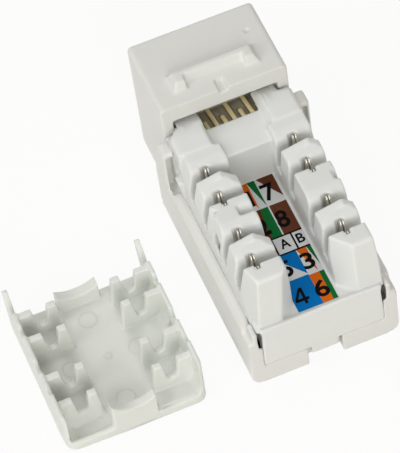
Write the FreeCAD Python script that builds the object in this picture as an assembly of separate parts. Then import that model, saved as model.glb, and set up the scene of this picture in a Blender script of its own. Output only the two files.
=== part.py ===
import FreeCAD, Part
import os
from math import cos, pi, sin, tan

# Keystone jack for twisted-pair cable, with its loose wire cap lying upside down beside it.
# Millimetres. X runs across the jack, +Y points to the plug port, +Z up to the wire slots.
# Origin: bottom of the rear end, on the centre plane, at table height.

V = FreeCAD.Vector
CLEAR = 0.1

# Outer sizes of the housing
FACE_W = 14.5
LENGTH = 34.45
FACE_REAR = 24.5
FACE_TOP = 17.75
FACE_BOTTOM = 1.65
FACE_ROUND = 0.5
TRAY_W = 16.8
TRAY_FRONT = 25.8
TRAY_TOP = 8.2
TRAY_FRONT_TOP = 7.4
TRAY_CORNER = 1.3
TRAY_INNER = 7.2
FLOOR = 1.2

# Shoulder posts between the wide rear body and the front block
POST_X = 8.45
POST_REAR = 21.9
POST_FRONT = 23.8
POST_TOP = 13.8

POCKET_X = (7.3, 8.15)
POCKET_Y = (21.0, 23.1)
POCKET_Z = (7.7, 13.2)

# Panel catch on top of the front block; its sides lean in towards the top
CATCH_HALF = 5.1
CATCH_FRONT = 28.2
CATCH_FOOT_REAR = 26.7
CATCH_BAR_REAR = 27.6
CATCH_FOOT_IN = 3.4
CATCH_HEIGHT = 1.0
CATCH_LEAN = 0.65
GROOVE_HALF = 0.5
GROOVE_FRONT = 26.1
GROOVE_DEPTH = 0.5

# Plug port: body of an 8-way modular plug with its latch channel below
PORT_HALF = 5.9
PORT_TOP = 11.6
PORT_HEIGHT = 6.85
PORT_REAR = 23.6
LATCH_HALF = 3.15
LATCH_DEPTH = 1.5
LATCH_TIP_HALF = 2.0
LATCH_TIP_DEPTH = 1.0
LATCH_REAR = 26.0
WINDOW_HALF = 6.0
WINDOW_TOP = 15.5
WINDOW_FRONT = 26.6
SPRING_POCKET_HALF = 4.6
SPRING_POCKET_TOP = 14.0
SPRING_POCKET_FRONT = 33.2

# Rear frame of the housing round the end plate
FRAME_T = 1.1
FRAME_HALF = 6.8
FRAME_SILL = 2.72
FRAME_GAP_BOTTOM = 5.9
FRAME_TOP = 8.6
FRAME_STEP_TOP = 7.3
FRAME_STEP_Y = 1.8
FRAME_STEP_X = 7.8
NOTCH_HALF = 1.95

# Flexible panel latch below the front block
ARM_HALF = 4.2
ARM_ROOT = (32.0, 33.6)
ARM_REAR = 26.4
ARM_Z = (0.45, 1.25)
ARM_CATCH = (27.6, 28.7)

# Circuit board on two ribs of the tray floor
BOARD_HALF = 6.6
BOARD_Y = (1.4, 24.0)
BOARD_Z = (3.6, 5.2)
RIB_X = (5.9, 6.5)
PIN_END = 2.8
PIN_HOLE_R = 0.42

# Termination block
BLOCK_HALF = 7.2
DECK = 8.4
SLOT_Y = (17.27, 13.69, 8.35, 4.76)
SLOT_HALF = 0.6
SLOT_FLOOR = 10.2
SLOT_X = 4.99
LEAD_IN = 1.45
ROW_SHIFT = 0.2
ROW_INNER = 2.55
ROW_OUTER = 7.0
ROW_TOP = 14.8
ROW_PEAK = 15.15
PEAK_OFFSET = 0.95
HEAD_TOP = 15.0
HEAD_REAR = 20.4
HEAD_FRONT = 24.45
HEAD_ROUND = 0.95
HEAD_INNER = 3.1
HEAD_BEVEL = ((-5.7, 24.5), (-7.3, 22.6))
HEAD_BEVEL_Z = 13.7
HEAD_LEAN = 0.65
NOSE_OUTER = 5.7
NOSE_FRONT = 25.7
NOSE_BOTTOM = 13.8
PLATEAU = 14.0
PLATEAU_Y = (18.75, 23.2)
PLATEAU_T = 0.3
REAR_TOWER_Y = (0.55, 1.75)
NOTCH_Y = (10.6, 12.0)
NOTCH_Z = 13.7
NOTCH_X = ((-4.1, -1.5), (6.6, 8.0))
DENT = ((-7.3, 11.2), (-6.1, 12.2), (-7.3, 12.7))
DENT_Z = 14.2
SIDE_WINDOW = ((11.1, 13.2), (11.2, 10.6), (9.6, 9.9), (9.45, 12.6))
SIDE_WINDOW_X = 6.65
RELIEF_Y = 3.0
RELIEF_TOP = 8.25
PLATE_HALF = 6.8
PLATE_Z = (2.8, 8.9)
PLATE_T = 0.82
TAB_HALF = 1.55
TAB_BOTTOM = 1.6
COVER_Y = (0.35, 1.6)
COVER_Z = (8.0, 8.75)

# Slotted insulation-displacement contacts
BLADE_T = 0.45
BLADE_HALF = 1.15
BLADE_TOP = 14.55
BLADE_SLIT = 0.36
BLADE_SLIT_BOTTOM = 10.6
BLADE_MOUTH = 0.9
BLADE_PIN = 0.5
NEAR_TINE_DROP = 0.45
POCKET_SIDE = 0.06
POCKET_GAP = 0.3

# Spring contacts of the plug port, formed strip at the standard pitch of 1.02
SPRING_PITCH = 1.02
SPRING_COUNT = 8
SPRING_R = 0.225
SPRING_RUN_Z = 13.45
SPRING_SLOPE = 0.32
PIN_BEND = 0.7
SPRING_PIN_Y = (20.3, 21.5)
SPRING_REACH = (3.9, 1.5)
SPRING_TURN = ((32.6, 12.6), (31.6, 11.92))
SPRING_END = ((25.2, 9.4), (25.2, 8.7))
SPRING_BEND_R = 0.8
SPRING_TIGHT_R = 0.35
CARRIER_HALF = 4.4
CARRIER_Y = (19.6, 23.3)
CARRIER_TOP = 13.2
COMB_FRONT = 27.1
COMB_BOTTOM = 11.2
COMB_FRONT_TOP = 12.15
DIVE_Z = 11.62

# Wiring label
LABEL_X = (-2.2, 2.28)
LABEL_Y = (0.84, 18.7)
LABEL_T = 0.1

# Loose wire cap, upside down: its outer face lies on the table
CAP_X = -21.1
CAP_HALF = 7.9
CAP_Y = (0.45, 18.1)
CAP_FLOOR = 1.0
CAP_WALL = 0.5
CAP_TOP = 5.2
CAP_CORNER = 1.3
RIM_TOP = 1.3
ARCH_X = (-2.6, 2.3)
ARCH_Z = (5.4, 3.7, 4.5)
ARCH_T = 1.05
FORK_Y = (15.75, 12.45, 7.1, 3.5)
FORK_T = 0.8
FORK_TOP = 5.0
FORK_INNER = 3.15
FORK_FOOT = 2.75
FORK_NOTCH_TOP = 0.88
FORK_NOTCH_BOTTOM = 0.55
FORK_NOTCH_Z = 2.8
SADDLE_X = (-2.7, 2.0)
SADDLE_Y = (17.05, 18.3)
SADDLE_TOP = 3.35
SADDLE_DIP = 0.75
COVE_R = 1.5
WALL_SLOT_Y = (9.3, 10.2)
WALL_SLOT_Z = (1.3, 3.2)


def box(x0, x1, y0, y1, z0, z1):
    return Part.makeBox(x1 - x0, y1 - y0, z1 - z0, V(x0, y0, z0))


def prism(points, depth):
    """Closed polygon of vectors pushed along the vector depth."""
    return Part.Face(Part.makePolygon(list(points) + [points[0]])).extrude(depth)


def prism_x(yz, x0, x1):
    return prism([V(x0, y, z) for y, z in yz], V(x1 - x0, 0, 0))


def prism_y(xz, y0, y1):
    return prism([V(x, y0, z) for x, z in xz], V(0, y1 - y0, 0))


def prism_z(xy, z0, z1):
    return prism([V(x, y, z0) for x, y in xy], V(0, 0, z1 - z0))


def fuse(shapes):
    solid = shapes[0].fuse(shapes[1:]) if len(shapes) > 1 else shapes[0]
    return solid.removeSplitter()


def both_sides(shape):
    return [shape, shape.mirror(V(0, 0, 0), V(1, 0, 0))]


def edges_along(shape, axis, test):
    """Straight edges along axis (0, 1 or 2) whose middle point passes the test."""
    found = []
    for edge in shape.Edges:
        if not isinstance(edge.Curve, (Part.Line, Part.LineSegment)):
            continue
        direction = edge.Vertexes[-1].Point - edge.Vertexes[0].Point
        if direction.Length > 0 and abs(direction[axis]) > 0.999 * direction.Length:
            if test(edge.CenterOfMass):
                found.append(edge)
    return found


def front_block():
    """Block that fills the panel opening, softly rounded all round."""
    half = FACE_W / 2
    block = box(-half, half, FACE_REAR, LENGTH, FACE_BOTTOM, FACE_TOP)
    block = block.makeFillet(FACE_ROUND, edges_along(block, 1, lambda p: True))
    front = [e for e in block.Edges if abs(e.CenterOfMass.y - LENGTH) < 1e-6]
    return block.makeFillet(0.3, front)


def tray():
    """Wide rear body: rounded channel with an open top."""
    half = TRAY_W / 2
    solid = box(-half, half, 0, TRAY_FRONT, 0, TRAY_TOP)
    solid = solid.makeFillet(TRAY_CORNER, edges_along(solid, 1, lambda p: p.z < 0.1))
    slope = prism_x([(TRAY_FRONT - 2.2, TRAY_TOP), (TRAY_FRONT, TRAY_FRONT_TOP),
                     (TRAY_FRONT + 1, TRAY_TOP + 1)], -half - 1, half + 1)
    return solid.cut(slope)


def shoulder_post():
    """Tapering post that carries the side wall up to the front block."""
    profile = [(POST_REAR, FLOOR), (POST_REAR, POST_TOP), (POST_FRONT, POST_TOP),
               (TRAY_FRONT, TRAY_FRONT_TOP), (TRAY_FRONT, FLOOR + 1.0)]
    post = prism_x(profile, FACE_W / 2 - 0.2, POST_X)
    rounded = edges_along(post, 2, lambda p: p.x > POST_X - 0.1 and p.y < POST_REAR + 0.1)
    rounded += edges_along(post, 1, lambda p: p.x > POST_X - 0.1 and p.z > POST_TOP - 0.1)
    return post.makeFillet(0.45, rounded)


def post_pocket():
    """Hollow in the rear of a shoulder post, where the block's barb snaps in."""
    return box(POCKET_X[0], POCKET_X[1], POCKET_Y[0], POCKET_Y[1], POCKET_Z[0], POCKET_Z[1])


def leaning_bar(x0, x1, rear):
    """Bar along X with its rear and front faces leaning in."""
    base, top = FACE_TOP - 0.2, FACE_TOP + CATCH_HEIGHT
    return prism_x([(rear - CATCH_LEAN, base), (rear, top), (CATCH_FRONT, top),
                    (CATCH_FRONT + CATCH_LEAN, base)], x0, x1)


def panel_catch():
    """Fixed catch: a bar between two longer feet."""
    base, top = FACE_TOP - 0.3, FACE_TOP + CATCH_HEIGHT
    foot = leaning_bar(CATCH_FOOT_IN, CATCH_HALF, CATCH_FOOT_REAR)
    end = prism_y([(CATCH_HALF, base), (CATCH_HALF - CATCH_LEAN, top), (CATCH_HALF - CATCH_LEAN, top + 1),
                   (CATCH_HALF + 1, top + 1), (CATCH_HALF + 1, base)], FACE_REAR, LENGTH)
    return [leaning_bar(-CATCH_FOOT_IN, CATCH_FOOT_IN, CATCH_BAR_REAR)] + both_sides(foot.cut(end))


def catch_groove():
    """Short groove behind the catch, open to the rear edge."""
    floor = FACE_TOP - GROOVE_DEPTH
    return box(-GROOVE_HALF, GROOVE_HALF, FACE_REAR - 1, GROOVE_FRONT, floor, FACE_TOP + 1)


def panel_latch():
    """Flexible arm below the block, with a catch ridge and a finger end."""
    z0, z1 = ARM_Z
    profile = [(ARM_ROOT[1], z0 + 0.4), (ARM_ROOT[1], FACE_BOTTOM + 0.2), (ARM_ROOT[0], FACE_BOTTOM + 0.2),
               (ARM_ROOT[0], z1), (ARM_REAR, z1), (ARM_REAR, z0), (ARM_CATCH[0], z0),
               (ARM_CATCH[0], 0.02), (ARM_CATCH[0] + 0.4, 0.02), (ARM_CATCH[1], z0),
               (ARM_ROOT[1] - 0.4, z0)]
    return prism_x(profile, -ARM_HALF, ARM_HALF)


def port_hollow():
    """Plug cavity, latch channel, spring pocket and the window towards the wire slots."""
    floor = PORT_TOP - PORT_HEIGHT
    step = floor - LATCH_DEPTH
    out = LENGTH + 1
    return [
        box(-PORT_HALF, PORT_HALF, PORT_REAR - 0.4, out, floor, PORT_TOP),
        box(-LATCH_HALF, LATCH_HALF, LATCH_REAR, out, step, floor + 0.1),
        box(-LATCH_TIP_HALF, LATCH_TIP_HALF, LATCH_REAR + 2, out, step - LATCH_TIP_DEPTH, step + 0.1),
        box(-SPRING_POCKET_HALF, SPRING_POCKET_HALF, FACE_REAR - 1, SPRING_POCKET_FRONT,
            PORT_TOP - 0.1, SPRING_POCKET_TOP),
        box(-WINDOW_HALF, WINDOW_HALF, FACE_REAR - 1, WINDOW_FRONT, floor, WINDOW_TOP),
    ]


def tray_hollow():
    """Inside of the wide body, with the rear frame left round the end plate."""
    high = FACE_TOP
    room = box(-TRAY_INNER, TRAY_INNER, FRAME_T, FACE_REAR, FLOOR, high)
    sill = box(-FRAME_HALF, FRAME_HALF, -1, FRAME_T + 0.1, FRAME_SILL, high)
    gap = box(-TRAY_INNER, TRAY_INNER, -1, FRAME_T + 0.1, FRAME_GAP_BOTTOM, high)
    notch = box(-NOTCH_HALF, NOTCH_HALF, -1, FRAME_T + 0.1, -1, FRAME_SILL + 0.1)
    return [room, sill, gap, notch]


def board_rib():
    return box(RIB_X[0], RIB_X[1], 2.0, 23.0, FLOOR - 0.1, BOARD_Z[0])


def frame_post():
    """Raised end of the side wall beside the end plate."""
    return box(TRAY_INNER, FRAME_STEP_X, 0, FRAME_STEP_Y, TRAY_TOP - 1.5, FRAME_TOP)


def frame_step():
    """Material taken from the outer top of the wall at its rear end."""
    half = TRAY_W / 2
    low = FRAME_STEP_TOP - 0.35
    return prism_y([(FRAME_STEP_X, FRAME_STEP_TOP), (half + 0.1, low), (half + 0.1, FACE_TOP),
                    (FRAME_STEP_X, FACE_TOP)], -1, FRAME_STEP_Y)


def wall_chamfer():
    """Bevel along the outer top edge of the side wall."""
    half = TRAY_W / 2
    return prism_y([(half - 0.55, TRAY_TOP + 0.01), (half + 0.1, TRAY_TOP - 0.55),
                    (half + 0.1, TRAY_TOP + 0.01)], FRAME_STEP_Y, POST_REAR - 0.3)


def make_housing():
    shell = tray()
    for cut in both_sides(wall_chamfer()):
        shell = shell.cut(cut)
    shell = fuse([shell, front_block()] + both_sides(shoulder_post()))
    for hollow in tray_hollow() + port_hollow() + both_sides(post_pocket()) + [catch_groove()]:
        shell = shell.cut(hollow)
    shell = fuse([shell] + both_sides(frame_post()) + both_sides(board_rib()))
    for cut in both_sides(frame_step()):
        shell = shell.cut(cut)
    return fuse([shell, panel_latch()] + panel_catch())


def row_section(side):
    """Cross-section of a row of wire guides: sides lean in above the cap's wall."""
    if side > 0:
        left, right = ROW_INNER + ROW_SHIFT, ROW_OUTER + ROW_SHIFT
        foot_left, foot_right = left - 0.1, BLOCK_HALF
    else:
        left, right = ROW_SHIFT - ROW_OUTER, ROW_SHIFT - ROW_INNER
        foot_left, foot_right = -BLOCK_HALF, right + 0.1
    right = min(right, BLOCK_HALF - 0.05)
    top = ROW_PEAK
    return [(foot_left, DECK - 1.0), (foot_left, 12.0), (left + 0.25, top), (right - 0.1, top),
            (foot_right, 12.0), (foot_right, DECK - 1.0)]


def slot_profile(y):
    """Wire slot seen from the side: plain near wall, rounded lead-in on the far wall."""
    near, far = y - SLOT_HALF, y + SLOT_HALF
    high = ROW_PEAK + 1.5
    start, end = V(0, far, ROW_TOP - LEAD_IN), V(0, far + LEAD_IN, ROW_TOP)
    middle = V(0, far + LEAD_IN * (1 - cos(pi / 4)), ROW_TOP - LEAD_IN * (1 - sin(pi / 4)))
    corners = [end, V(0, far + LEAD_IN, high), V(0, near, high), V(0, near, SLOT_FLOOR),
               V(0, far, SLOT_FLOOR), start]
    edges = [Part.makeLine(a, b) for a, b in zip(corners, corners[1:])]
    edges.append(Part.Arc(start, middle, end).toShape())
    return Part.Face(Part.Wire(edges))


def slot_cut(y, side):
    x0, x1 = (1.5, 8.0) if side > 0 else (-8.0, -1.5)
    face = slot_profile(y)
    face.translate(V(x0, 0, 0))
    return face.extrude(V(x1 - x0, 0, 0))


def flat_top_cut(y0, y1, z):
    return box(-8.0, 8.0, y0, y1, z, ROW_PEAK + 1)


def roof_cuts(y0, y1, side):
    """Slopes that leave a pointed tooth with its ridge right of the blade."""
    centre = side * SLOT_X + PEAK_OFFSET
    left, right = centre - 3.4, centre + 1.9
    high = ROW_PEAK + 1
    peak, left_z, right_z = ROW_PEAK, ROW_PEAK - 0.75, ROW_PEAK - 0.95
    left_cut = prism_y([(centre, peak), (left, left_z), (left, high), (centre, high)], y0, y1)
    right_cut = prism_y([(centre, peak), (right, right_z), (right, high), (centre, high)], y0, y1)
    corner = prism_z([(centre + 0.1, y1 + 0.05), (right, y1 - 0.9), (right, y1 + 0.05)], peak - 1.6, high)
    return [left_cut, right_cut, corner]


def blade_pocket(y, side, open_near):
    """Hollow that takes one contact, open above on the far side of the slot."""
    x = side * SLOT_X
    half = BLADE_T / 2 + POCKET_SIDE
    end = BLADE_HALF + 0.05
    room = box(x - half, x + half, y - end, y + end, BOARD_Z[1] - 0.1, BLADE_TOP + 0.1)
    mouth = box(x - half - POCKET_GAP, x + half, y, y + end, SLOT_FLOOR, ROW_PEAK + 1)
    cuts = [room, mouth]
    if open_near:
        cuts.append(box(x - half, x + half, y - end, y, 12.6, ROW_PEAK + 1))
    return cuts


def slanted_corner(first, second, shift):
    """Everything outside the line first to second at deck level, leaning by shift up to the tower tops."""
    run = V(second[0] - first[0], second[1] - first[1], 0).normalize()
    out = V(run.y, -run.x, 0)
    a = V(first[0], first[1], DECK) - run * 3
    b = V(second[0], second[1], DECK) + run * 3
    rise = V(shift[0], shift[1], ROW_TOP - DECK) * 1.5
    return prism([a, b, b + out * 5, a + out * 5], rise)


def rear_tower_cuts():
    """Leaning rear face of each rear tower and its bevelled corners."""
    low_y, high_y = REAR_TOWER_Y
    lean = prism_x([(-1, DECK), (low_y, DECK), (high_y, ROW_TOP - 0.4), (high_y + 0.5, ROW_TOP + 0.2),
                    (high_y + 0.5, ROW_PEAK + 1), (-1, ROW_PEAK + 1)], -8, 8)
    left_row = box(-8, 0, -1, SLOT_Y[3] - SLOT_HALF, DECK, ROW_PEAK + 1)
    right_row = box(0, 8, -1, SLOT_Y[3] - SLOT_HALF, DECK, ROW_PEAK + 1)
    corners = [slanted_corner((-7.19, 2.04), (-6.83, 0.76), (0.94, 1.13)).common(left_row),
               slanted_corner((-4.07, 0.66), (-2.83, 1.73), (0.62, 0.9)).common(left_row),
               slanted_corner((2.62, 2.59), (4.13, 0.86), (0.6, 0.95)).common(right_row)]
    return [lean] + corners


def wide_tooth_marks():
    """Ramped notches on the right side of the wide teeth and a dent on the left of one."""
    near, far = NOTCH_Y
    notch = [(near, NOTCH_Z), (near + 0.4, NOTCH_Z), (far, ROW_TOP), (far, ROW_PEAK + 1),
             (near, ROW_PEAK + 1)]
    return [prism_x(notch, x0, x1) for x0, x1 in NOTCH_X] + [prism_z(DENT, DENT_Z, ROW_PEAK + 1)]


def side_windows():
    """Slanted hollows in the outer sides, below the wide teeth."""
    return both_sides(prism_x(SIDE_WINDOW, SIDE_WINDOW_X, 8.0))


def side_barbs():
    """Small wedges on the outer sides that hold the block down under the shoulders."""
    barb = prism_y([(7.0, 8.3), (7.3, 8.3), (7.75, 10.9), (7.0, 10.9)], 19.9, 21.2)
    return both_sides(barb)


def end_plate():
    z0, z1 = PLATE_Z
    plate = prism_x([(0, z0), (0, z1), (0.3, z1), (PLATE_T, DECK), (PLATE_T, z0)], -PLATE_HALF, PLATE_HALF)
    tab = box(-TAB_HALF, TAB_HALF, 0, PLATE_T, TAB_BOTTOM, z0 + 0.1)
    return [plate, tab]


def flat_head():
    """Flat-topped head beside the plateau, with its nose under the lip of the front block."""
    head = box(HEAD_INNER, BLOCK_HALF - 0.05, HEAD_REAR, HEAD_FRONT, DECK - 1, HEAD_TOP)
    brow = edges_along(head, 0, lambda p: p.z > HEAD_TOP - 0.1 and p.y > HEAD_REAR + 0.1)
    head = head.makeFillet(HEAD_ROUND, brow)
    head = head.makeChamfer(0.3, edges_along(head, 1, lambda p: p.z > HEAD_TOP - 0.1))
    nose = box(HEAD_INNER, NOSE_OUTER, HEAD_FRONT - 1, NOSE_FRONT, NOSE_BOTTOM, HEAD_TOP)
    brow = edges_along(nose, 0, lambda p: p.z > HEAD_TOP - 0.1 and p.y > HEAD_FRONT)
    return fuse([head, nose.makeFillet(HEAD_ROUND, brow)])


def flat_heads():
    """Both heads: the right one's inner flank leans, the left one has its outer corner cut off."""
    right, left = both_sides(flat_head())
    low, high = HEAD_INNER, HEAD_INNER + HEAD_LEAN
    flank = prism_y([(low - 1, PLATEAU), (low, PLATEAU), (high, HEAD_TOP), (high, ROW_PEAK),
                     (low - 1, ROW_PEAK)], HEAD_REAR, NOSE_FRONT + 1)
    (x0, y0), (x1, y1) = HEAD_BEVEL
    bevel = prism_z([(x0, y0), (x1, y1), (x1, y0 + 0.5), (x0, y0 + 0.5)], HEAD_BEVEL_Z, ROW_PEAK)
    return [right.cut(flank), left.cut(bevel)]


def make_termination_block():
    base = box(-BLOCK_HALF, BLOCK_HALF, FRAME_T + CLEAR, HEAD_FRONT, BOARD_Z[1], DECK)
    neck = box(-FRAME_HALF + CLEAR, FRAME_HALF - CLEAR, 0.3, FRAME_T + 0.2, BOARD_Z[1], DECK)
    parts = [base, neck]
    for side in (-1, 1):
        row = prism_y(row_section(side), REAR_TOWER_Y[0], HEAD_REAR)
        for y in SLOT_Y:
            row = row.cut(slot_cut(y, side))
        for y0, y1 in ((SLOT_Y[1], SLOT_Y[0]), (SLOT_Y[3], SLOT_Y[2])):
            for cut in roof_cuts(y0 + SLOT_HALF, y1 - SLOT_HALF, side):
                row = row.cut(cut)
        parts.append(row)
    block = fuse(parts)
    for y0, y1 in ((SLOT_Y[0], FACE_REAR), (SLOT_Y[2], SLOT_Y[1] - SLOT_HALF), (-1, SLOT_Y[3] - SLOT_HALF)):
        block = block.cut(flat_top_cut(y0, y1, ROW_TOP))
    for cut in rear_tower_cuts() + wide_tooth_marks() + side_windows():
        block = block.cut(cut)
    plateau = box(-HEAD_INNER - 0.2, HEAD_INNER + 0.2, PLATEAU_Y[0], PLATEAU_Y[1], DECK - 1, PLATEAU)
    cover = box(FRAME_HALF - 0.2, BLOCK_HALF - 0.05, COVER_Y[0], COVER_Y[1], COVER_Z[0], COVER_Z[1])
    block = fuse([block, plateau] + flat_heads() + both_sides(cover) + end_plate() + side_barbs())
    for relief in both_sides(box(FRAME_HALF - CLEAR, BLOCK_HALF + 1, -1, RELIEF_Y, 0, RELIEF_TOP)):
        block = block.cut(relief)
    for side in (-1, 1):
        for i, y in enumerate(SLOT_Y):
            for cut in blade_pocket(y, side, i in (1, 3)):
                block = block.cut(cut)
    carrier_room = box(-CARRIER_HALF - CLEAR, CARRIER_HALF + CLEAR, CARRIER_Y[0] - CLEAR, FACE_REAR + 1,
                       BOARD_Z[1] - 1, PLATEAU - PLATEAU_T)
    block = block.cut(carrier_room)
    return block.removeSplitter()


def contact_profile(y):
    """Plate contact seen from the side: two tines with a slit, and a pin into the board."""
    low, top, near = BOARD_Z[1], BLADE_TOP, BLADE_TOP - NEAR_TINE_DROP
    slit, mouth = BLADE_SLIT / 2, BLADE_MOUTH / 2
    shoulder = 0.4
    points = [(-BLADE_PIN / 2, PIN_END), (BLADE_PIN / 2, PIN_END), (BLADE_PIN / 2, low), (BLADE_HALF, low),
              (BLADE_HALF, top - shoulder), (BLADE_HALF - shoulder, top), (mouth, top), (slit, top - 0.8),
              (slit, BLADE_SLIT_BOTTOM), (-slit, BLADE_SLIT_BOTTOM), (-slit, near - 0.8), (-mouth, near),
              (-BLADE_HALF + shoulder, near), (-BLADE_HALF, near - shoulder), (-BLADE_HALF, low),
              (-BLADE_PIN / 2, low)]
    return [(y + dy, z) for dy, z in points]


def make_idc_contact(side, y):
    x = side * SLOT_X
    return prism_x(contact_profile(y), x - BLADE_T / 2, x + BLADE_T / 2)


def spring_x(i):
    return (i - (SPRING_COUNT - 1) / 2) * SPRING_PITCH


def spring_bend(i):
    """Where the sloping run ends: short on every other spring, which then dives through the comb."""
    reach = SPRING_REACH[i % 2]
    return CARRIER_Y[1] + reach, SPRING_RUN_Z - reach * SPRING_SLOPE


def spring_points(i):
    """Side view of one spring as (y, z, bend radius): pin, run over the carrier, slope, free end."""
    pin_y, turn, end = SPRING_PIN_Y[i % 2], SPRING_TURN[i % 2], SPRING_END[i % 2]
    y, z = spring_bend(i)
    points = [(pin_y, PIN_END, 0), (pin_y, SPRING_RUN_Z, PIN_BEND - 0.1),
              (CARRIER_Y[1], SPRING_RUN_Z, SPRING_BEND_R)]
    if i % 2:
        points += [(y, z, SPRING_TIGHT_R), (y + SPRING_TIGHT_R, DIVE_Z, SPRING_TIGHT_R)]
    else:
        points += [(y, z, SPRING_BEND_R)]
    return points + [turn + (SPRING_TIGHT_R,), end + (0,)]


def offset_line(points, half):
    """Corner data of a bent strip's side, offset to the left of travel by half."""
    at = [V(0, y, z) for y, z, r in points]
    edges = []
    last = None
    for i in range(1, len(at) - 1):
        corner, r = at[i], points[i][2]
        into = (corner - at[i - 1]).normalize()
        out = (at[i + 1] - corner).normalize()
        bend = into.getAngle(out)
        reach = r * tan(bend / 2)
        inward = (out - into).normalize()
        centre = corner + inward * (r / cos(bend / 2))
        left_in, left_out = V(0, -into.z, into.y), V(0, -out.z, out.y)
        start, end = corner - into * reach + left_in * half, corner + out * reach + left_out * half
        side = 1 if left_in.dot(inward) < 0 else -1
        middle = centre - inward * (r + side * half)
        if last is None:
            last = at[0] + left_in * half
        edges.append(Part.makeLine(last, start))
        edges.append(Part.Arc(start, middle, end).toShape())
        last = end
    final = at[-1] + V(0, -out.z, out.y) * half
    edges.append(Part.makeLine(last, final))
    return edges


def strip_face(points, half):
    """Side view of a bent strip: straight runs joined by tangent arcs."""
    sides = [offset_line(points, half), offset_line(points, -half)]
    starts = [edges[0].Vertexes[0].Point for edges in sides]
    ends = [edges[-1].Vertexes[-1].Point for edges in sides]
    caps = [Part.makeLine(starts[0], starts[1]), Part.makeLine(ends[0], ends[1])]
    ordered = Part.__sortEdges__(sides[0] + sides[1] + caps)
    return Part.Face(Part.Wire(ordered))


def make_spring_contact(i):
    """One formed strip."""
    face = strip_face(spring_points(i), SPRING_R)
    face.translate(V(spring_x(i) - SPRING_R, 0, 0))
    return face.extrude(V(2 * SPRING_R, 0, 0))


def make_circuit_board():
    board = box(-BOARD_HALF, BOARD_HALF, BOARD_Y[0], BOARD_Y[1], BOARD_Z[0], BOARD_Z[1])
    spots = [(side * SLOT_X, y) for side in (-1, 1) for y in SLOT_Y]
    spots += [(spring_x(i), SPRING_PIN_Y[i % 2]) for i in range(SPRING_COUNT)]
    for x, y in spots:
        board = board.cut(Part.makeCylinder(PIN_HOLE_R, 3, V(x, y, BOARD_Z[0] - 1)))
    return board


def spring_channels(i):
    """Pin hole and open groove for one spring, with a slot down through the comb for a short one."""
    half = SPRING_R + 0.03
    x0, x1 = spring_x(i) - half, spring_x(i) + half
    pin_y, run, high = SPRING_PIN_Y[i % 2], SPRING_RUN_Z - half, FACE_TOP
    y, z = spring_bend(i)
    cuts = [box(x0, x1, pin_y - half, pin_y + half, 0, high), box(x0, x1, pin_y, CARRIER_Y[1], run, high)]
    cuts.append(prism_x([(pin_y, run - PIN_BEND), (pin_y + PIN_BEND, run), (pin_y, run)], x0, x1))
    end, low = (y, z - half - 0.04) if i % 2 else (COMB_FRONT + 1, z - half - SPRING_SLOPE)
    start = CARRIER_Y[1] - 0.05
    cuts.append(prism_x([(start, run), (end, low), (end, high), (start, high)], x0, x1))
    if i % 2:
        cuts.append(box(x0, x1, y - half, y + SPRING_TIGHT_R + half, DIVE_Z - half, high))
        cuts.append(box(x0, x1, y, COMB_FRONT + 1, DIVE_Z - half, DIVE_Z + 0.13 + half))
    return cuts


def make_contact_carrier():
    """Body that holds the springs, with a sloping comb under their bends."""
    y0, y1 = CARRIER_Y
    profile = [(y0, BOARD_Z[1]), (y0, CARRIER_TOP), (y1, CARRIER_TOP), (COMB_FRONT, COMB_FRONT_TOP),
               (COMB_FRONT, COMB_BOTTOM), (y1, COMB_BOTTOM - 0.6), (y1, BOARD_Z[1])]
    carrier = prism_x(profile, -CARRIER_HALF, CARRIER_HALF)
    for i in range(SPRING_COUNT):
        for cut in spring_channels(i):
            carrier = carrier.cut(cut)
    return carrier.removeSplitter()


def make_wiring_label():
    return box(LABEL_X[0], LABEL_X[1], LABEL_Y[0], LABEL_Y[1], DECK, DECK + LABEL_T)


def arc_face(left, middle, right, low_right, low_left):
    """Face in a plane of constant y with an arc for its top edge."""
    arc = Part.Arc(left, middle, right).toShape()
    sides = [Part.makeLine(right, low_right), Part.makeLine(low_right, low_left),
             Part.makeLine(low_left, left)]
    return Part.Face(Part.Wire([arc] + sides))


def fork(y, side):
    """Cross wall with a U notch that presses one wire into its slot."""
    outer, root, near = CAP_HALF - CAP_WALL + 0.1, CAP_FLOOR - 0.1, y - FORK_T / 2
    low, high = FORK_NOTCH_BOTTOM, FORK_NOTCH_TOP
    left = [(FORK_FOOT, root), (FORK_INNER, FORK_TOP), (SLOT_X - high, FORK_TOP),
            (SLOT_X - low, FORK_NOTCH_Z)]
    right = [(SLOT_X + low, FORK_NOTCH_Z), (SLOT_X + high, FORK_TOP), (outer, FORK_TOP), (outer, root)]
    left_points = [V(side * x, near, z) for x, z in left]
    right_points = [V(side * x, near, z) for x, z in right]
    bottom = V(side * SLOT_X, near, FORK_NOTCH_Z - low)
    edges = [Part.makeLine(a, b) for a, b in zip(left_points, left_points[1:])]
    edges.append(Part.Arc(left_points[-1], bottom, right_points[0]).toShape())
    edges += [Part.makeLine(a, b) for a, b in zip(right_points, right_points[1:])]
    edges.append(Part.makeLine(right_points[-1], left_points[0]))
    return Part.Face(Part.Wire(edges)).extrude(V(0, FORK_T, 0))


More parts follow.
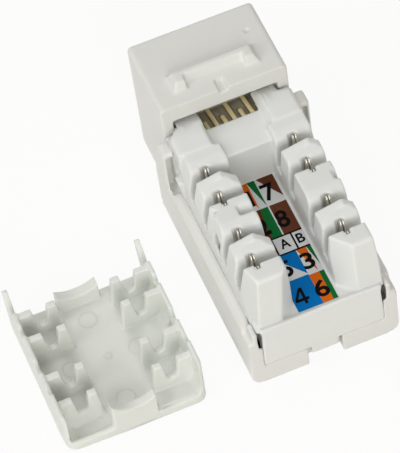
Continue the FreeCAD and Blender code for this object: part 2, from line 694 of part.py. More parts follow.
def cap_side_wall(side):
    """Side wall with shallow dips between the forks, highest at its near end."""
    near, far = CAP_Y[0], FORK_Y[0] + 0.6
    high = CAP_TOP + 0.6
    profile = [(near, 0), (near, high - 1.0), (near + 0.6, high), (FORK_Y[3] + 0.9, high)]
    profile += [(FORK_Y[3] + 1.7, CAP_TOP - 0.2), (FORK_Y[2] - 0.8, CAP_TOP)]
    for y, width, dip in ((FORK_Y[2] + 0.8, 1.7, 1.2), (FORK_Y[1] + 0.6, 1.4, 0.9)):
        profile += [(y, CAP_TOP), (y + 0.5, CAP_TOP - dip), (y + width - 0.5, CAP_TOP - dip),
                    (y + width, CAP_TOP)]
    profile += [(far, CAP_TOP - 0.1), (far, 0)]
    inner = CAP_HALF - CAP_WALL
    return prism_x(profile, min(side * inner, side * CAP_HALF), max(side * inner, side * CAP_HALF))


def cap_arm(side):
    """Thin spur that stands forward of the side wall and steadies the cap beside the block."""
    y = FORK_Y[0]
    profile = [(y, 0), (y, 3.6), (y + 1.5, 3.4), (y + 3.45, 5.3), (y + 3.8, 5.1), (y + 2.9, 1.6),
               (CAP_Y[1], 0)]
    inner = CAP_HALF - CAP_WALL - 0.1
    return prism_x(profile, min(side * inner, side * CAP_HALF), max(side * inner, side * CAP_HALF))


def cap_arch():
    """Wall at the cable's way in, hollowed to the round of the cable."""
    (x0, x1), y = ARCH_X, CAP_Y[0]
    left, low, right = ARCH_Z
    face = arc_face(V(x0, y, left), V(0.1, y, low), V(x1, y, right), V(x1, y, 0), V(x0, y, 0))
    return face.extrude(V(0, ARCH_T, 0))


def cap_saddle():
    """Curved wall at the other end, over the inner end of the cable's jacket."""
    (y0, y1), (x0, x1), root = SADDLE_Y, SADDLE_X, CAP_FLOOR - 0.1
    low = V((x0 + x1) / 2, y0, SADDLE_TOP - SADDLE_DIP)
    face = arc_face(V(x0, y0, SADDLE_TOP), low, V(x1, y0, SADDLE_TOP), V(x1, y0, root), V(x0, y0, root))
    return face.extrude(V(0, y1 - y0, 0))


def cap_pocket():
    """Shallow hollow in the floor behind the nearest left fork, deepest at the wall."""
    x0, x1, y = 1.3 - CAP_HALF, ARCH_X[0] - 0.4, CAP_Y[0] + 0.75
    profile = [(x0, 0.5), (x0 + 2.0, 0.5), (x1, CAP_FLOOR + 0.1), (x0, CAP_FLOOR + 0.1)]
    return prism_y(profile, y, FORK_Y[3] - FORK_T / 2)


def cap_cove():
    """Hollow curve between the floor and the right side wall."""
    wall, root, (near, far) = CAP_HALF - CAP_WALL + 0.05, CAP_FLOOR - 0.05, CAP_Y
    a, b = V(wall - COVE_R, near, root), V(wall, near, root + COVE_R)
    bulge = COVE_R * (1 - sin(pi / 4))
    middle = V(wall - bulge, near, root + bulge)
    corner = V(wall, near, root)
    edges = [Part.Arc(a, middle, b).toShape(), Part.makeLine(b, corner), Part.makeLine(corner, a)]
    return Part.Face(Part.Wire(edges)).extrude(V(0, far - near, 0))


def wall_slot():
    """Small window through the right side wall and its cove."""
    (y0, y1), (z0, z1) = WALL_SLOT_Y, WALL_SLOT_Z
    return box(CAP_HALF - COVE_R - CAP_WALL, CAP_HALF + 1, y0, y1, z0, z1)


def make_wire_cap():
    half, near = CAP_HALF, CAP_Y[0]
    floor = box(-half, half, near, CAP_Y[1], 0, CAP_FLOOR)
    rim = box(-half, half, near, near + 0.7, 0, RIM_TOP)
    parts = [floor, rim, cap_arch(), cap_saddle(), cap_cove()]
    for side in (-1, 1):
        parts += [cap_side_wall(side), cap_arm(side)]
        parts += [fork(y, side) for y in FORK_Y]
    cap = fuse(parts).cut(cap_pocket()).cut(wall_slot())
    uprights = edges_along(cap, 2, lambda p: abs(p.x) > half - 0.01 and p.y < near + 0.01)
    cap = cap.makeFillet(CAP_CORNER, uprights)
    cap.translate(V(CAP_X, 0, 0))
    return cap


def save(name, shape):
    solids = shape.Solids
    if len(solids) != 1 or not shape.isValid():
        print("check", name, len(solids), shape.isValid())
    solids[0].exportStep("parts/" + name + ".step")
    return len(shape.tessellate(0.1)[1])


def main():
    os.makedirs("parts", exist_ok=True)
    total = save("housing", make_housing())
    total += save("termination_block", make_termination_block())
    total += save("circuit_board", make_circuit_board())
    total += save("contact_carrier", make_contact_carrier())
    total += save("wiring_label", make_wiring_label())
    total += save("wire_cap", make_wire_cap())
    spots = [(side, y) for side in (-1, 1) for y in SLOT_Y]
    for i, (side, y) in enumerate(spots):
        total += save("idc_contact_%d" % (i + 1), make_idc_contact(side, y))
    for i in range(SPRING_COUNT):
        total += save("spring_contact_%d" % (i + 1), make_spring_contact(i))
    print("triangles", total)


main()
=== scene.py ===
import bmesh
import bpy
from math import cos, pi, sin
from mathutils import Matrix, Vector


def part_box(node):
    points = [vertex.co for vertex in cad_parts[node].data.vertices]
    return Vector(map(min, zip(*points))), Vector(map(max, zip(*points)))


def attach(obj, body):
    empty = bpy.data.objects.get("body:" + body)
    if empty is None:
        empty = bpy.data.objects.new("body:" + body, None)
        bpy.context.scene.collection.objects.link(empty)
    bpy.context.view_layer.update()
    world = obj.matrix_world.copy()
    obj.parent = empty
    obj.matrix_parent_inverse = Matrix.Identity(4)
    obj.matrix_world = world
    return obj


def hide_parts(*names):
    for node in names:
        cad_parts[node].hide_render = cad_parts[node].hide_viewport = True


# Keystone jack lying on its tray, with its loose wire cap upside down beside it.
# The frame's X runs across the jack, +Y to the plug port, +Z up to the wire slots.
# Blender works in metres; places and sizes of the object's own forms are given in millimetres.

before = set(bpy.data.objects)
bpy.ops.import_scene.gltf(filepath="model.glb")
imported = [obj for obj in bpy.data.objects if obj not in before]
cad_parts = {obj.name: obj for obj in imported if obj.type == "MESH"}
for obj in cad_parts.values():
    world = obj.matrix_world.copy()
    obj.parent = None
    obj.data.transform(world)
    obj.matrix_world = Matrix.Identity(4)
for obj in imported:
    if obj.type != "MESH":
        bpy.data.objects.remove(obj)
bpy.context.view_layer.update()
MM = 0.001

# Places read from the frame
LABEL_LOW, LABEL_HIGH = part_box("wiring_label")
CAP_LOW, CAP_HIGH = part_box("wire_cap")
CAP_MIDDLE = (CAP_LOW.x + CAP_HIGH.x) / 2 / MM
CAP_PLATE = 1.0
CAP_FLOOR = (CAP_LOW.z + CAP_PLATE * MM) / MM


def new_object(name, data):
    obj = bpy.data.objects.new(name, data)
    bpy.context.scene.collection.objects.link(obj)
    return obj


def write_back(bm, mesh):
    """Ends the work on bm and keeps its result in mesh."""
    bm.to_mesh(mesh)
    bm.free()
    return mesh


# Node groups

COLOUR = "NodeSocketColor"
NUMBER = "NodeSocketFloat"


def new_group(name, inputs):
    """Shader node group with (name, type, value) inputs, which puts out a colour, roughness and relief."""
    group = bpy.data.node_groups.new(name, "ShaderNodeTree")
    for title, kind, value in inputs:
        socket = group.interface.new_socket(title, in_out="INPUT", socket_type=kind)
        socket.default_value = value
    for title, kind in (("Color", COLOUR), ("Roughness", NUMBER), ("Height", NUMBER)):
        group.interface.new_socket(title, in_out="OUTPUT", socket_type=kind)
    return group, group.nodes.new("NodeGroupInput")


def put_out(group, colour, roughness, height):
    leave = group.nodes.new("NodeGroupOutput")
    group.links.new(colour, leave.inputs["Color"])
    group.links.new(roughness, leave.inputs["Roughness"])
    group.links.new(height, leave.inputs["Height"])
    return group


def math_node(tree, operation, a, b):
    node = tree.nodes.new("ShaderNodeMath")
    node.operation = operation
    for socket, value in zip(node.inputs, (a, b)):
        if isinstance(value, (int, float)):
            socket.default_value = value
        else:
            tree.links.new(value, socket)
    return node.outputs[0]


def noise_node(tree, vector, scale, detail):
    node = tree.nodes.new("ShaderNodeTexNoise")
    node.inputs["Scale"].default_value = scale
    node.inputs["Detail"].default_value = detail
    tree.links.new(vector, node.inputs["Vector"])
    return node.outputs["Fac"]


def mixed_colour(tree, share, base, other):
    mix = tree.nodes.new("ShaderNodeMix")
    mix.data_type = "RGBA"
    tree.links.new(share, mix.inputs["Factor"])
    tree.links.new(base, mix.inputs["A"])
    tree.links.new(other, mix.inputs["B"])
    return mix.outputs["Result"]


def uneven(tree, roughness, noise, amount):
    """Roughness that the noise moves up and down by half the amount."""
    centred = math_node(tree, "SUBTRACT", noise, 0.5)
    return math_node(tree, "ADD", roughness, math_node(tree, "MULTIPLY", centred, amount))


def moulded_surface_group():
    """Cloudy tone of pale plastic, its uneven gloss, and the fine grain left by the mould."""
    group, enter = new_group(
        "moulded surface",
        [("Base", COLOUR, (0.8, 0.8, 0.8, 1)), ("Shade", COLOUR, (0.6, 0.6, 0.6, 1)),
         ("Clouds", NUMBER, 0.4), ("Roughness", NUMBER, 0.4), ("Grain", NUMBER, 1.0)])
    flow_share = 1.5
    place = group.nodes.new("ShaderNodeTexCoord").outputs["Object"]
    clouds = noise_node(group, place, scale=260.0, detail=3.0)
    flow = noise_node(group, place, scale=1400.0, detail=2.0)
    grain = noise_node(group, place, scale=9000.0, detail=2.0)
    tone = math_node(group, "MULTIPLY", clouds, enter.outputs["Clouds"])
    colour = mixed_colour(group, tone, enter.outputs["Base"], enter.outputs["Shade"])
    rough = uneven(group, enter.outputs["Roughness"], flow, amount=0.12)
    relief = math_node(group, "ADD", grain, math_node(group, "MULTIPLY", flow, flow_share))
    height = math_node(group, "MULTIPLY", relief, enter.outputs["Grain"])
    return put_out(group, colour, rough, height)


def plated_metal_group():
    """Slight stain and drawn scratches of a plated strip."""
    group, enter = new_group(
        "plated metal",
        [("Base", COLOUR, (0.8, 0.8, 0.8, 1)), ("Stain", COLOUR, (0.4, 0.4, 0.4, 1)),
         ("Roughness", NUMBER, 0.3)])
    stain_share = 0.5
    drawn_length = 0.15
    place = group.nodes.new("ShaderNodeTexCoord").outputs["Object"]
    stretch = group.nodes.new("ShaderNodeMapping")
    stretch.inputs["Scale"].default_value = (1.0, drawn_length, drawn_length)
    group.links.new(place, stretch.inputs["Vector"])
    scratches = noise_node(group, stretch.outputs["Vector"], scale=12000.0, detail=2.0)
    stain = noise_node(group, place, scale=1800.0, detail=3.0)
    tone = math_node(group, "MULTIPLY", stain, stain_share)
    colour = mixed_colour(group, tone, enter.outputs["Base"], enter.outputs["Stain"])
    rough = uneven(group, enter.outputs["Roughness"], scratches, amount=0.2)
    return put_out(group, colour, rough, scratches)


MOULDED = moulded_surface_group()
PLATED = plated_metal_group()


# Materials

RELIEF_STRENGTH = 0.6
PLASTIC_RELIEF = 0.004 * MM
METAL_RELIEF = 0.003 * MM
GLOW_DEPTH = 0.7 * MM
GLOW_TINT = (1.0, 0.9, 0.75)
INK_WEAR = 0.75


def group_material(name, group, values, depth):
    """Principled material fed by one node group; depth is how deep its relief goes."""
    material = bpy.data.materials.new(name)
    material.use_nodes = True
    tree = material.node_tree
    shader = tree.nodes["Principled BSDF"]
    effect = tree.nodes.new("ShaderNodeGroup")
    effect.node_tree = group
    for key, value in values.items():
        effect.inputs[key].default_value = value
    tree.links.new(effect.outputs["Color"], shader.inputs["Base Color"])
    tree.links.new(effect.outputs["Roughness"], shader.inputs["Roughness"])
    relief = tree.nodes.new("ShaderNodeBump")
    relief.inputs["Strength"].default_value = RELIEF_STRENGTH
    relief.inputs["Distance"].default_value = depth
    tree.links.new(effect.outputs["Height"], relief.inputs["Height"])
    tree.links.new(relief.outputs["Normal"], shader.inputs["Normal"])
    return material, shader


def plastic(name, base, shade, roughness, glow=0.0, shine=0.45):
    """Moulded plastic; glow is the share of the light that scatters below the surface."""
    values = {"Base": base + (1,), "Shade": shade + (1,), "Roughness": roughness,
              "Clouds": 0.5, "Grain": 1.0}
    material, shader = group_material(name, MOULDED, values, PLASTIC_RELIEF)
    shader.inputs["Specular IOR Level"].default_value = shine
    if glow:
        shader.inputs["Subsurface Weight"].default_value = glow
        shader.inputs["Subsurface Radius"].default_value = GLOW_TINT
        shader.inputs["Subsurface Scale"].default_value = GLOW_DEPTH
    return material


def metal(name, base, stain, roughness, metallic):
    values = {"Base": base + (1,), "Stain": stain + (1,), "Roughness": roughness}
    material, shader = group_material(name, PLATED, values, METAL_RELIEF)
    shader.inputs["Metallic"].default_value = metallic
    return material


def ink(name, base):
    """Printed colour on the label, a little worn."""
    worn = tuple(value * INK_WEAR for value in base)
    return plastic("label %s ink" % name, base, worn, roughness=0.6, shine=0.04)


HOUSING_WHITE = plastic("housing white plastic", (0.79, 0.79, 0.765), (0.73, 0.73, 0.70),
                        roughness=0.42, glow=0.15)
BLOCK_WHITE = plastic("block white plastic", (0.80, 0.81, 0.80), (0.75, 0.76, 0.74),
                      roughness=0.36, glow=0.15)
CAP_WHITE = plastic("cap white plastic", (0.79, 0.805, 0.77), (0.73, 0.745, 0.705),
                    roughness=0.40, glow=0.3)
CARRIER_DARK = plastic("carrier dark plastic", (0.44, 0.41, 0.34), (0.36, 0.34, 0.28), roughness=0.5)
BOARD_GREEN = plastic("board green laminate", (0.05, 0.20, 0.09), (0.03, 0.14, 0.06), roughness=0.45)
TIN = metal("tinned bronze", (0.72, 0.70, 0.64), (0.40, 0.38, 0.33), roughness=0.3, metallic=0.9)
# The springs lie in the shade of the window: as full metal they would only mirror its dark walls
GOLD = metal("gold plated bronze", (1.0, 0.85, 0.50), (0.98, 0.78, 0.41), roughness=0.45, metallic=0.0)
FILM_WHITE = plastic("label white film", (0.66, 0.67, 0.68), (0.60, 0.61, 0.62), roughness=0.5, shine=0.2)

INKS = {
    "white": FILM_WHITE,
    "green": ink("green", (0.006, 0.15, 0.035)),
    "brown": ink("brown", (0.13, 0.042, 0.020)),
    "orange": ink("orange", (0.70, 0.14, 0.008)),
    # Orange ink darkened as painted shade, for the part of the orange pair's field that lies in the shade
    # of the left row of teeth
    "orange_painted_shade": ink("orange_painted_shade", (0.14, 0.030, 0.008)),
    "blue": ink("blue", (0.001, 0.165, 0.50)),
    "black": ink("black", (0.004, 0.004, 0.004)),
}


# Pieces: the solids with their edges melted or rounded a little

WELD_DISTANCE = 1e-4
MELT_FACTOR = 0.5
FLAT_ANGLE = 0.02
EDGE_ANGLE = 0.7
LEAF_OFFSET = 0.145
LEAF_SHARE = 0.34


def welded_copy(node):
    """The node's mesh in millimetres, its split corners joined."""
    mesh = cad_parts[node].data.copy()
    mesh.transform(Matrix.Scale(1 / MM, 4))
    bm = bmesh.new()
    bm.from_mesh(mesh)
    bmesh.ops.remove_doubles(bm, verts=bm.verts, dist=WELD_DISTANCE)
    write_back(bm, mesh)
    mesh.materials.clear()
    return mesh


def add_boxes(mesh, boxes):
    """Adds boxes, each given by its ends along X, Y and Z."""
    bm = bmesh.new()
    bm.from_mesh(mesh)
    for x0, x1, y0, y1, z0, z1 in boxes:
        for vertex in bmesh.ops.create_cube(bm, size=1.0)["verts"]:
            x, y, z = vertex.co
            vertex.co = Vector((x * abs(x1 - x0) + (x0 + x1) / 2, y * (y1 - y0) + (y0 + y1) / 2,
                                z * (z1 - z0) + (z0 + z1) / 2))
    return write_back(bm, mesh)


def settle(name, mesh, build):
    """Runs the modifiers that build adds to mesh, and gives the finished object in metres."""
    rough = new_object("rough " + name, mesh)
    build(rough)
    bpy.context.view_layer.update()
    ready = rough.evaluated_get(bpy.context.evaluated_depsgraph_get())
    finished = bpy.data.meshes.new_from_object(ready)
    bpy.data.objects.remove(rough)
    finished.transform(Matrix.Scale(MM, 4))
    finished.name = name
    return new_object(name, finished)


def finish_piece(piece, node, material):
    piece.data.materials.clear()
    piece.data.materials.append(material)
    for polygon in piece.data.polygons:
        polygon.use_smooth = True
        polygon.material_index = 0
    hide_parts(node)
    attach(piece, "root")
    return piece


def moulding(node, material, voxel, passes, keep, walls=(), pockets=()):
    """Softly rounded copy of a moulded solid, with thin walls added and deep pockets cut.

    It is rebuilt on a grid of the size voxel, smoothed in so many passes, and keeps that share
    of its faces.
    """
    cutter = new_object("pocket cutter", bpy.data.meshes.new("pocket cutter"))
    add_boxes(cutter.data, pockets)

    def build(rough):
        if pockets:
            hollow = rough.modifiers.new("pockets", "BOOLEAN")
            hollow.operation = "DIFFERENCE"
            hollow.use_self = True
            hollow.object = cutter
        grid = rough.modifiers.new("grid", "REMESH")
        grid.mode = "VOXEL"
        grid.voxel_size = voxel
        grid.use_smooth_shade = True
        melt = rough.modifiers.new("melt", "SMOOTH")
        melt.factor = MELT_FACTOR
        melt.iterations = passes
        thin = rough.modifiers.new("thin", "DECIMATE")
        thin.ratio = keep

    piece = settle(node + "_moulding", add_boxes(welded_copy(node), walls), build)
    bpy.data.objects.remove(cutter)
    return finish_piece(piece, node, material)


def bevelled(node, material, width, segments, shape=None):
    """Copy of a simple solid with its edges rounded, changed by the function shape before that."""
    def build(rough):
        flat = rough.modifiers.new("flat", "DECIMATE")
        flat.decimate_type = "DISSOLVE"
        flat.angle_limit = FLAT_ANGLE
        round_edges = rough.modifiers.new("round edges", "BEVEL")
        round_edges.width = width
        round_edges.segments = segments
        round_edges.limit_method = "ANGLE"
        round_edges.angle_limit = EDGE_ANGLE
        round_edges.harden_normals = True

    mesh = welded_copy(node)
    piece = settle(node + "_piece", shape(mesh) if shape else mesh, build)
    return finish_piece(piece, node, material)


def folded(mesh):
    """Turns a plate in a plane across X into two thin leaves with a gap between them."""
    xs = [vertex.co.x for vertex in mesh.vertices]
    middle = (min(xs) + max(xs)) / 2
    bm = bmesh.new()
    for side in (-1, 1):
        leaf = mesh.copy()
        for vertex in leaf.vertices:
            vertex.co.x = middle + side * LEAF_OFFSET + (vertex.co.x - middle) * LEAF_SHARE
        bm.from_mesh(leaf)
        bpy.data.meshes.remove(leaf)
    return write_back(bm, mesh)


def closed_comb(mesh):
    """Adds the thin wall that closes the comb's slots at their front end."""
    return add_boxes(mesh, [COMB_WALL])


def both_sides(inner, outer, *rest):
    """A box on the left of the jack and its mirror image on the right."""
    return [(side * inner, side * outer) + rest for side in (-1, 1)]


# Boxes, by their ends along X, Y and Z
COMB_WALL = (-4.0, 4.0, 26.91, 27.07, 11.24, 12.5)
LIP_WALLS = both_sides(3.95, 6.4, 25.85, 26.2, 14.3, 15.9)
LIP_WALLS += both_sides(5.35, 6.4, 25.5, 25.9, 13.2, 15.9)
END_PLATE_SLOTS = both_sides(6.65, 7.5, 0.32, 2.2, 4.6, 7.9)
BLOCK_POCKETS = both_sides(6.45, 7.4, 1.0, 2.2, 5.6, 8.0)
BLOCK_POCKETS += both_sides(5.5, 6.85, 9.6, 11.15, 8.9, 12.5)

# A voxel of 0.12 would line up with the tray's inner walls and leave stray faces there
housing_piece = moulding("housing", HOUSING_WHITE, voxel=0.119, passes=5, keep=0.30,
                         walls=LIP_WALLS, pockets=END_PLATE_SLOTS)
block_piece = moulding("termination_block", BLOCK_WHITE, voxel=0.105, passes=9,
                       keep=0.30, pockets=BLOCK_POCKETS)
cap_piece = moulding("wire_cap", CAP_WHITE, voxel=0.10, passes=5, keep=0.36)
bevelled("contact_carrier", CARRIER_DARK, width=0.05, segments=2, shape=closed_comb)
bevelled("circuit_board", BOARD_GREEN, width=0.05, segments=1)
for number in range(1, 9):
    bevelled("idc_contact_%d" % number, TIN, width=0.04, segments=2, shape=folded)
    bevelled("spring_contact_%d" % number, GOLD, width=0.17, segments=3)


# Pressed joints and small marks of the mould

# Where the block meets the housing: beyond this |x|, Y from and to, Z from and to, pushed out by
BLOCK_JOINTS = (
    (7.0, 1.2, 21.5, -1.0, 8.38, 0.1),
    (6.95, 21.5, 24.7, 8.38, 13.9, 0.13),
    (6.6, -1.0, 0.9, -1.0, 5.9, 0.12),
)
NOSE_START = 23.9
NOSE_FOOT = 13.9
NOSE_HEIGHT = 1.1
NOSE_SLOPE = 0.3

# Upper corners at the left ends of the teeth, which are rounder than the rest
ROW_LEFT_ENDS = (-6.7, 2.95)
TOOTH_CORNERS = (2.2, 5.6, 9.2, 14.5)
TOOTH_CORNER_HEIGHT = 14.5

RING_STEPS = 48
RING_HALF_WIDTH = 0.11
RING_HEIGHT = 0.05
RING_FOOT = -0.02
EJECTOR_RADIUS = 1.0
EJECTOR_PLACES = ((-21.36, 14.86), (-17.73, 9.38), (-21.22, 3.92), (-25.13, 9.72))
CAVITY_RADIUS = 0.38
CAVITY_PLACE = (-21.08, 9.59)


def close_block_joints(piece):
    """Presses the block's sides, heads and end plate to the housing, and slopes its noses under the lip."""
    for vertex in piece.data.vertices:
        x, y, z = vertex.co / MM
        side = 1 if x > 0 else -1
        for flank, near, far, low, high, push in BLOCK_JOINTS:
            if abs(x) > flank and near < y < far and low < z < high:
                x += side * push
        if y > NOSE_START and z > NOSE_FOOT:
            z -= NOSE_SLOPE * (y - NOSE_START) * (z - NOSE_FOOT) / NOSE_HEIGHT
        vertex.co = Vector((x, y, z)) * MM


def dent(piece, centre, radius, push):
    """Presses the surface near centre by push, softly to the radius."""
    middle = Vector(centre) * MM
    for vertex in piece.data.vertices:
        part = (vertex.co - middle).length / (radius * MM)
        if part < 1:
            vertex.co += Vector(push) * MM * (1 - part * part)


def soften(piece, centre, radius, passes):
    """Melts the edges within the radius of centre further."""
    middle = Vector(centre) * MM
    bm = bmesh.new()
    bm.from_mesh(piece.data)
    near = [vertex for vertex in bm.verts if (vertex.co - middle).length < radius * MM]
    for _ in range(passes):
        bmesh.ops.smooth_vert(bm, verts=near, factor=MELT_FACTOR,
                              use_axis_x=True, use_axis_y=True, use_axis_z=True)
    write_back(bm, piece.data)


def raised_floor(piece):
    """Brings the cap's floor up to its rim between the rim and the nearest right fork."""
    left, near, far = CAP_MIDDLE + 2.6, 0.9, 3.1
    bottom, rim_top = 0.9, 1.3
    slope, slope_start = 0.14, 1.1
    for vertex in piece.data.vertices:
        x, y, z = vertex.co / MM
        if x > left and bottom < z < rim_top and near < y < far:
            vertex.co.z = max(z, rim_top - slope * max(y - slope_start, 0.0)) * MM


def ring_mark(name, place, radius):
    """Faint raised ring on the cap's floor, left by an ejector pin or a round insert of the mould."""
    x, y = place
    bm = bmesh.new()
    loops = []
    for r, lift in ((radius - RING_HALF_WIDTH, RING_FOOT), (radius, RING_HEIGHT),
                    (radius + RING_HALF_WIDTH, RING_FOOT)):
        loop = []
        for step in range(RING_STEPS):
            angle = 2 * pi * step / RING_STEPS
            corner = ((x + r * cos(angle)) * MM, (y + r * sin(angle)) * MM, (CAP_FLOOR + lift) * MM)
            loop.append(bm.verts.new(corner))
        loops.append(loop)
    for inner, outer in zip(loops, loops[1:]):
        for here in range(RING_STEPS):
            after = (here + 1) % RING_STEPS
            bm.faces.new((inner[here], outer[here], outer[after], inner[after]))
    mesh = write_back(bm, bpy.data.meshes.new(name))
    mesh.materials.append(CAP_WHITE)
    for polygon in mesh.polygons:
        polygon.use_smooth = True
    ring = new_object(name, mesh)
    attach(ring, "root")


close_block_joints(block_piece)
# On the top of the front block, and on the cap's near rim
dent(housing_piece, (5.21, 30.83, 17.75), radius=0.35, push=(0, 0, -0.15))
dent(cap_piece, (-17.77, 0.75, 1.35), radius=0.55, push=(0, 0.12, -0.3))
for corner_x in ROW_LEFT_ENDS:
    for corner_y in TOOTH_CORNERS:
        soften(block_piece, (corner_x, corner_y, TOOTH_CORNER_HEIGHT), radius=0.95, passes=8)
# The cap's near corners, where its rim meets the floor
raised_floor(cap_piece)
soften(cap_piece, (CAP_MIDDLE - 5.2, 2.0, 1.0), radius=2.9, passes=30)
soften(cap_piece, (CAP_MIDDLE + 5.6, 1.9, 1.3), radius=2.4, passes=12)
# Upper corners of the housing's rear frame
for side in (-1, 1):
    soften(housing_piece, (side * 7.9, 1.0, 7.9), radius=1.7, passes=10)
for count, place in enumerate(EJECTOR_PLACES):
    ring_mark("ejector_mark_%d" % (count + 1), place, EJECTOR_RADIUS)
ring_mark("cavity_mark", CAVITY_PLACE, CAVITY_RADIUS)


# Wiring label: film, colour fields and plain digits

FILM_TOP = LABEL_HIGH.z
FIELD_LIFT = 0.006 * MM
DIGIT_LIFT = 0.012 * MM
LEFT, RIGHT = LABEL_LOW.x / MM, LABEL_HIGH.x / MM
NEAR, FAR = LABEL_LOW.y / MM, LABEL_HIGH.y / MM

# Ends of the rows along Y: a plain and a split row, the strip with the letters, and two rows again
NEAR_ROW, STRIP_NEAR, STRIP_FAR, FAR_ROW = 4.9, 8.45, 10.75, 14.85
NEAR_ROW_RIGHT = NEAR_ROW - 0.15

# Ends of the fields along X, and the width of the black lines
BLUE_RIGHT, ORANGE_RIGHT = 0.6, 1.74
# Ends of the orange pair's field, whose lower part is printed darker as painted shade
SHADED_ORANGE_LEFT, SHADED_ORANGE_RIGHT, SHADED_ORANGE_NEAR_RIGHT = -1.75, -0.72, -1.02
GREEN_RIGHT, BROWN_LEFT = 0.16, 0.32
STRIP_LEFT, LETTERS_SPLIT = -1.3, 0.88
LINE = 0.2

# Text, left end, near end, width, height and how much bolder than the plain typeface
GLYPHS = (
    ("1", -1.5, 15.5, 0.6, 2.15, 0.04),
    ("2", -2.1, 11.4, 1.4, 2.3, 0.04),
    ("3", 0.57, 5.45, 1.3, 2.15, 0.022),
    ("5", -1.9, 5.44, 1.3, 2.15, 0.022),
    ("6", 0.38, 1.57, 1.5, 2.2, 0.022),
    ("7", 0.3, 15.45, 1.45, 2.3, 0.022),
    ("8", 0.27, 11.55, 1.35, 2.3, 0.02),
    ("A", -0.62, 8.98, 1.08, 1.26, 0.022),
    ("B", 1.28, 8.96, 0.85, 1.26, 0.022),
)
# The digit 4, which has strokes of its own: left end, near end, width and height
FOUR = (-1.96, 1.55, 1.5, 2.15)


def split_fields(x0, x1, y0, y1, y2, colour, tip=0.1, spread=0.0):
    """Two rows of one wire pair: plain ink below, ink and white split by a diagonal above."""
    return [([(x0 - spread, y0), (x1, y0), (x1, y1), (x0, y1)], colour),
            ([(x0, y2), (x1, y1 + tip), (x1, y2)], colour)]


def label_fields():
    """Outlines of the printed fields with the name of their ink."""
    fields = split_fields(LEFT, BLUE_RIGHT, NEAR, NEAR_ROW, STRIP_NEAR, "blue")
    fields += split_fields(BLUE_RIGHT, ORANGE_RIGHT, NEAR, NEAR_ROW_RIGHT, STRIP_NEAR, "orange")
    fields += split_fields(ORANGE_RIGHT, RIGHT, NEAR, NEAR_ROW_RIGHT, STRIP_NEAR, "green", tip=0.75)
    fields += split_fields(BROWN_LEFT, RIGHT, STRIP_FAR, FAR_ROW, FAR, "brown", tip=0.65)
    fields += split_fields(SHADED_ORANGE_RIGHT, GREEN_RIGHT, STRIP_FAR, FAR_ROW, FAR, "green", spread=0.3)
    # The orange pair: its lower part in darker orange that paints the left row's shade, its tip in plain
    # orange
    fields += [([(SHADED_ORANGE_LEFT, STRIP_FAR), (SHADED_ORANGE_NEAR_RIGHT, STRIP_FAR), (SHADED_ORANGE_RIGHT, FAR_ROW),
                 (SHADED_ORANGE_LEFT, FAR_ROW)], "orange_painted_shade"),
               ([(SHADED_ORANGE_LEFT, FAR), (SHADED_ORANGE_RIGHT, FAR_ROW + 0.1), (SHADED_ORANGE_RIGHT, FAR)], "orange")]
    for y in (STRIP_NEAR, STRIP_FAR):
        fields.append(([(STRIP_LEFT, y - LINE), (RIGHT, y - LINE), (RIGHT, y), (STRIP_LEFT, y)], "black"))
    for x in (STRIP_LEFT, LETTERS_SPLIT):
        fields.append(([(x, STRIP_NEAR), (x + LINE, STRIP_NEAR), (x + LINE, STRIP_FAR), (x, STRIP_FAR)],
                       "black"))
    return fields


def printed_label():
    bm = bmesh.new()
    names = list(INKS)
    bmesh.ops.create_cube(bm, size=1.0, matrix=Matrix.Translation((LABEL_LOW + LABEL_HIGH) / 2)
                          @ Matrix.Diagonal(LABEL_HIGH - LABEL_LOW).to_4x4())
    for face in bm.faces:
        face.material_index = names.index("white")
    for outline, colour in label_fields():
        corners = [bm.verts.new((x * MM, y * MM, FILM_TOP + FIELD_LIFT)) for x, y in outline]
        face = bm.faces.new(corners)
        face.normal_update()
        if face.normal.z < 0:
            face.normal_flip()
        face.material_index = names.index(colour)
    mesh = write_back(bm, bpy.data.meshes.new("printed_label"))
    for name in names:
        mesh.materials.append(INKS[name])
    label = new_object("printed_label", mesh)
    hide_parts("wiring_label")
    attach(label, "root")


def glyph_mesh(text, weight):
    """Outline of one plain digit or letter, one unit wide and high."""
    curve = bpy.data.curves.new("glyph", "FONT")
    curve.body = text
    curve.offset = weight
    holder = new_object("glyph", curve)
    mesh = bpy.data.meshes.new_from_object(holder)
    bpy.data.objects.remove(holder)
    xs = [vertex.co.x for vertex in mesh.vertices]
    ys = [vertex.co.y for vertex in mesh.vertices]
    mesh.transform(Matrix.Translation((-min(xs), -min(ys), 0)))
    mesh.transform(Matrix.Diagonal((1 / (max(xs) - min(xs)), 1 / (max(ys) - min(ys)), 1, 1)))
    return mesh


def open_four():
    """Digit four from a slant, a bar and a stem, one unit wide and high."""
    mesh = bpy.data.meshes.new("four")
    corners = [(0.0, 0.2), (0.58, 0.2), (0.58, 0.0), (0.8, 0.0), (0.8, 0.2), (1.0, 0.2), (1.0, 0.37),
               (0.8, 0.37), (0.8, 1.0), (0.56, 1.0), (0.0, 0.37), (0.22, 0.37), (0.58, 0.37), (0.58, 0.78)]
    faces = [(0, 1, 12, 11, 10), (1, 2, 3, 4), (1, 4, 7, 12), (4, 5, 6, 7), (12, 7, 8, 13), (13, 8, 9),
             (10, 11, 13, 9)]
    mesh.from_pydata([(x, y, 0) for x, y in corners], [], faces)
    return mesh


def add_glyph(bm, mesh, x, y, width, height):
    mesh.transform(Matrix.Diagonal((width * MM, height * MM, 1, 1)))
    mesh.transform(Matrix.Translation((x * MM, y * MM, FILM_TOP + DIGIT_LIFT)))
    bm.from_mesh(mesh)
    bpy.data.meshes.remove(mesh)


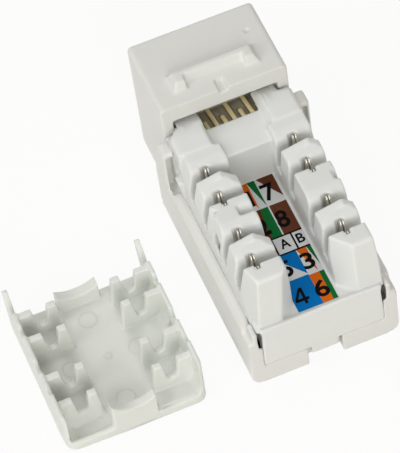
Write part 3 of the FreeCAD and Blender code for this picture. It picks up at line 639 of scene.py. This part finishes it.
def printed_digits():
    """Plain pair numbers, and the letters of the two wiring schemes."""
    bm = bmesh.new()
    for text, x, y, width, height, weight in GLYPHS:
        add_glyph(bm, glyph_mesh(text, weight), x, y, width, height)
    add_glyph(bm, open_four(), *FOUR)
    mesh = write_back(bm, bpy.data.meshes.new("label_digits"))
    mesh.materials.append(INKS["black"])
    digits = new_object("label_digits", mesh)
    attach(digits, "root")


printed_label()
printed_digits()


# Floor, light and camera, in metres

FLOOR_HALF = 1.5
FLOOR_SHADOW = 0.08
ROOM_LIGHT = 0.32
LAMPS_AIM = (-0.01, 0.015, 0.01)


def camera_sees_white(tree, seen, hidden, output_type):
    """Mixes the shader seen by the camera and in reflections with the one that lights the object."""
    path = tree.nodes.new("ShaderNodeLightPath")
    either = math_node(tree, "MAXIMUM", path.outputs["Is Camera Ray"], path.outputs["Is Glossy Ray"])
    either = math_node(tree, "MAXIMUM", either, path.outputs["Is Transmission Ray"])
    mix = tree.nodes.new("ShaderNodeMixShader")
    tree.links.new(either, mix.inputs[0])
    tree.links.new(hidden, mix.inputs[1])
    tree.links.new(seen, mix.inputs[2])
    output = tree.nodes.new(output_type)
    tree.links.new(mix.outputs[0], output.inputs["Surface"])


def make_floor():
    """White floor that shows a faint part of the object's shadow."""
    mesh = bpy.data.meshes.new("floor")
    corners = [(x * FLOOR_HALF, y * FLOOR_HALF, 0) for x, y in ((-1, -1), (1, -1), (1, 1), (-1, 1))]
    mesh.from_pydata(corners, [], [(0, 1, 2, 3)])
    floor = new_object("floor", mesh)
    material = bpy.data.materials.new("white sweep")
    material.use_nodes = True
    tree = material.node_tree
    tree.nodes.clear()
    diffuse = tree.nodes.new("ShaderNodeBsdfDiffuse")
    diffuse.inputs["Color"].default_value = (0.86, 0.84, 0.79, 1)
    white = tree.nodes.new("ShaderNodeEmission")
    white.inputs["Color"].default_value = (1, 1, 1, 1)
    shadow = tree.nodes.new("ShaderNodeMixShader")
    shadow.inputs[0].default_value = FLOOR_SHADOW
    tree.links.new(white.outputs[0], shadow.inputs[1])
    tree.links.new(diffuse.outputs[0], shadow.inputs[2])
    camera_sees_white(tree, shadow.outputs[0], diffuse.outputs[0], "ShaderNodeOutputMaterial")
    mesh.materials.append(material)


def background(tree, strength, colour):
    node = tree.nodes.new("ShaderNodeBackground")
    node.inputs["Strength"].default_value = strength
    node.inputs["Color"].default_value = colour
    return node.outputs[0]


def make_world():
    """White to look at, and a weaker warm light on the object."""
    world = bpy.data.worlds.new("studio")
    bpy.context.scene.world = world
    world.use_nodes = True
    tree = world.node_tree
    tree.nodes.clear()
    seen = background(tree, 1.0, (1, 1, 1, 1))
    hidden = background(tree, ROOM_LIGHT, (1.0, 0.975, 0.90, 1))
    camera_sees_white(tree, seen, hidden, "ShaderNodeOutputWorld")


def soft_lamp(name, place, size, power, colour):
    light = bpy.data.lights.new(name, "AREA")
    light.size = size
    light.energy = power
    light.color = colour
    lamp = new_object(name, light)
    lamp.location = place
    lamp.rotation_euler = (Vector(LAMPS_AIM) - Vector(place)).to_track_quat("-Z", "Y").to_euler()


def make_camera():
    """Long lens, above and behind the wire slots, rolled a little."""
    right = Vector((0.922559, -0.372843, -0.099363))
    up = Vector((0.356343, 0.724483, 0.590037))
    back = Vector((-0.148004, -0.579751, 0.801238))
    place = [value * MM for value in (-55.925, -174.917, 271.814)]
    lens = bpy.data.cameras.new("camera")
    lens.lens = 247.17
    lens.sensor_width = 36.0
    lens.clip_start = 0.01
    camera = new_object("camera", lens)
    turn = Matrix((right, up, back)).transposed().to_4x4()
    camera.matrix_world = Matrix.Translation(place) @ turn
    bpy.context.scene.camera = camera


make_floor()
make_world()
soft_lamp("left lamp", (-0.46, -0.14, 0.30), size=0.30, power=1.0, colour=(0.99, 1.0, 1.0))
soft_lamp("rear lamp", (-0.06, -0.50, 0.26), size=0.30, power=1.2, colour=(1.0, 0.99, 0.97))
soft_lamp("top lamp", (-0.05, 0.22, 0.50), size=0.34, power=0.62, colour=(0.99, 1.0, 1.0))
make_camera()
bpy.context.scene.view_settings.view_transform = "Standard"
